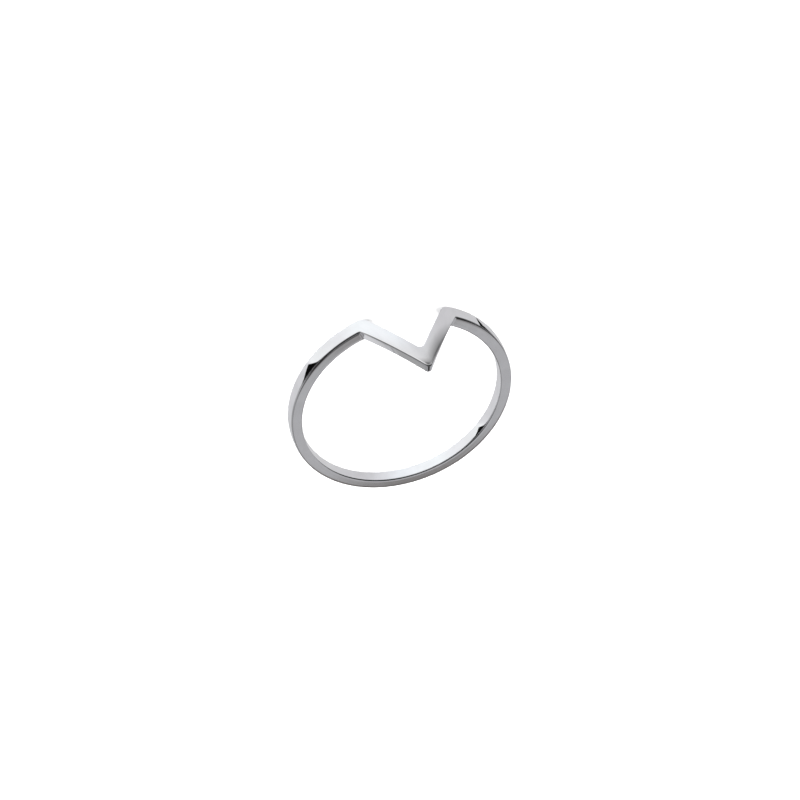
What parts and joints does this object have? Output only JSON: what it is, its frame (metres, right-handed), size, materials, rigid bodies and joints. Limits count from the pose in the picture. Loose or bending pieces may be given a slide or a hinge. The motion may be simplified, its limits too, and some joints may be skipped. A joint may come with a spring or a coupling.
{
  "type": "triangle ring",
  "caption": "Slim polished finger ring whose flat band bends into a pointed V that frames an open triangle.",
  "frame": {"origin": "on the finger's axis, in the plane of the flat rim that the ring lies on", "axes": "+Z along the finger's axis, from the flat rim towards the point of the V; -Y from the axis towards the V; +X to the right when the V is seen from outside with its point up"},
  "size_m": [0.019, 0.0187, 0.0073],
  "materials": {
    "polished_silver": "mirror polished"
  },
  "bodies": {
    "root": {"band": "polished_silver"}
  },
  "joints": []
}
